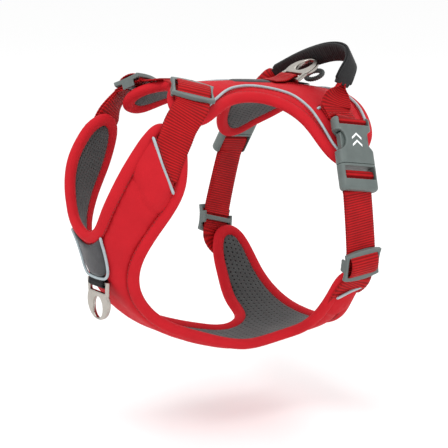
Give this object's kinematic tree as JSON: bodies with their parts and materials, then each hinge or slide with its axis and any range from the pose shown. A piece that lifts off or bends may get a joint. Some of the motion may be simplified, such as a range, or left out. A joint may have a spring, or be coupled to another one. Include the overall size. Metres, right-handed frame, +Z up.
{
  "type": "dog harness",
  "caption": "No-pull dog harness: padded back and chest panels joined by adjustable webbing straps, side-release buckles, grab handle and leash rings on the back and breast.",
  "frame": {"origin": "inside the dog's trunk, on the middle plane, under the middle of the back panel", "axes": "+Z up, +Y towards the tail, +X towards the dog's left"},
  "size_m": [0.2114, 0.2439, 0.2343],
  "materials": {
    "mesh_lining": "matte spacer mesh",
    "foam": "closed-cell foam",
    "red_binding": "soft rolled binding",
    "reflective": "reflective piping",
    "red_softshell": "smooth softshell",
    "charcoal_fabric": "matte woven",
    "rubber_badge": "satin",
    "grey_rubber": "matte",
    "satin_nickel": "satin",
    "black_webbing": "ribbed webbing",
    "grey_plastic": "satin moulded",
    "red_webbing": "ribbed webbing"
  },
  "bodies": {
    "harness": {"back_binding": "red_binding", "back_foam": "foam", "back_label": "rubber_badge", "back_lining": "mesh_lining", "back_shell": "red_softshell", "belly_pocket_left": "red_softshell", "belly_pocket_piping_left": "reflective", "belly_pocket_piping_right": "reflective", "belly_pocket_right": "red_softshell", "buckle_anchor_left": "red_webbing", "buckle_anchor_right": "red_webbing", "buckle_female_left": "grey_plastic", "buckle_female_right": "grey_plastic", "chest_binding": "red_binding", "chest_foam": "foam", "chest_lining": "mesh_lining", "chest_patch": "charcoal_fabric", "chest_patch_piping": "reflective", "chest_pocket_left": "red_softshell", "chest_pocket_piping_left": "reflective", "chest_pocket_piping_right": "reflective", "chest_pocket_right": "red_softshell", "chest_shell": "red_softshell", "edge_piping_left": "reflective", "edge_piping_right": "reflective", "front_ring_keeper": "black_webbing", "girth_strap_left": "red_webbing", "girth_strap_return_left": "red_webbing", "girth_strap_return_right": "red_webbing", "girth_strap_right": "red_webbing", "handle_end_left": "red_webbing", "handle_end_right": "red_webbing", "handle_foot_piping_left": "reflective", "handle_foot_piping_right": "reflective", "neck_strap_left": "red_webbing", "neck_strap_return_left": "red_webbing", "neck_strap_return_right": "red_webbing", "neck_strap_right": "red_webbing", "rear_piping": "reflective", "tag_tab": "grey_rubber", "top_ring_keeper": "red_webbing"},
    "plug_left": {"buckle_male_left": "grey_plastic"},
    "arm_front_left": {"buckle_arm_front_left": "grey_plastic"},
    "arm_rear_left": {"buckle_arm_rear_left": "grey_plastic"},
    "girth_slider_left": {"girth_slider_left": "grey_plastic", "girth_strap_loop_left": "red_webbing"},
    "neck_slider_left": {"neck_slider_left": "grey_plastic", "neck_strap_loop_left": "red_webbing"},
    "plug_right": {"buckle_male_right": "grey_plastic"},
    "arm_front_right": {"buckle_arm_front_right": "grey_plastic"},
    "arm_rear_right": {"buckle_arm_rear_right": "grey_plastic"},
    "girth_slider_right": {"girth_slider_right": "grey_plastic", "girth_strap_loop_right": "red_webbing"},
    "neck_slider_right": {"neck_slider_right": "grey_plastic", "neck_strap_loop_right": "red_webbing"},
    "top_ring": {"top_leash_ring": "satin_nickel"},
    "front_ring": {"front_leash_ring": "satin_nickel"},
    "tag": {"tag_loop": "grey_rubber"},
    "handle": {"handle_sleeve": "charcoal_fabric", "handle_core": "red_webbing"}
  },
  "joints": [
    {"name": "buckle_release_left", "type": "slide", "parent": "harness", "child": "plug_left", "axis": [0.4411, -0.1986, -0.8752], "range_m": [0, 0.026], "deforming": ["girth_strap_left", "girth_strap_return_left"]},
    {"name": "buckle_squeeze_front_left", "type": "hinge", "parent": "plug_left", "child": "arm_front_left", "pos_m": [0.09262, 0.0627, 0.05261], "axis": [0.888, -0.0444, 0.4577], "range_deg": [0, 6], "stiffness_Nm_per_rad": 1.5},
    {"name": "buckle_squeeze_rear_left", "type": "hinge", "parent": "plug_left", "child": "arm_rear_left", "pos_m": [0.09018, 0.04429, 0.05555], "axis": [-0.888, 0.0444, -0.4577], "range_deg": [0, 6], "stiffness_Nm_per_rad": 1.5},
    {"name": "girth_adjust_left", "type": "slide", "parent": "harness", "child": "girth_slider_left", "axis": [0.2425, -0.1052, 0.9644], "range_m": [-0.004, 0.012]},
    {"name": "neck_adjust_left", "type": "slide", "parent": "harness", "child": "neck_slider_left", "axis": [0.784, -0.5034, -0.3632], "range_m": [-0.001, 0.008], "deforming": ["neck_strap_left", "neck_strap_return_left"]},
    {"name": "buckle_release_right", "type": "slide", "parent": "harness", "child": "plug_right", "axis": [-0.4683, -0.1171, -0.8758], "range_m": [0, 0.026], "deforming": ["girth_strap_right", "girth_strap_return_right"]},
    {"name": "buckle_squeeze_front_right", "type": "hinge", "parent": "plug_right", "child": "arm_front_right", "pos_m": [-0.09218, 0.09296, 0.05202], "axis": [0.8833, -0.0377, -0.4673], "range_deg": [0, 6], "stiffness_Nm_per_rad": 1.5},
    {"name": "buckle_squeeze_rear_right", "type": "hinge", "parent": "plug_right", "child": "arm_rear_right", "pos_m": [-0.09177, 0.07431, 0.0543], "axis": [-0.8833, 0.0377, 0.4673], "range_deg": [0, 6], "stiffness_Nm_per_rad": 1.5},
    {"name": "girth_adjust_right", "type": "slide", "parent": "harness", "child": "girth_slider_right", "axis": [-0.2704, 0.2752, 0.9226], "range_m": [0, 0.012]},
    {"name": "neck_adjust_right", "type": "slide", "parent": "harness", "child": "neck_slider_right", "axis": [-0.7641, -0.4954, -0.4131], "range_m": [0, 0.008], "deforming": ["neck_strap_right", "neck_strap_return_right"]},
    {"name": "top_ring_swing", "type": "hinge", "parent": "harness", "child": "top_ring", "pos_m": [0.00011, 0.06308, 0.10852], "axis": [1, 0, 0], "range_deg": [-5, 120]},
    {"name": "front_ring_swing", "type": "hinge", "parent": "harness", "child": "front_ring", "pos_m": [0, -0.11591, -0.02751], "axis": [1, 0, 0], "range_deg": [-120, 25]},
    {"name": "tag_loop_swing", "type": "hinge", "parent": "harness", "child": "tag", "pos_m": [0.00019, 0.08437, 0.10603], "axis": [1, 0, 0], "range_deg": [-18, 15]},
    {"name": "handle_tilt", "type": "hinge", "parent": "harness", "child": "handle", "pos_m": [0.00275, 0.08115, 0.10115], "axis": [0.9915, -0.1304, 0], "range_deg": [-20, 8], "deforming": ["handle_end_left", "handle_end_right"]}
  ]
}
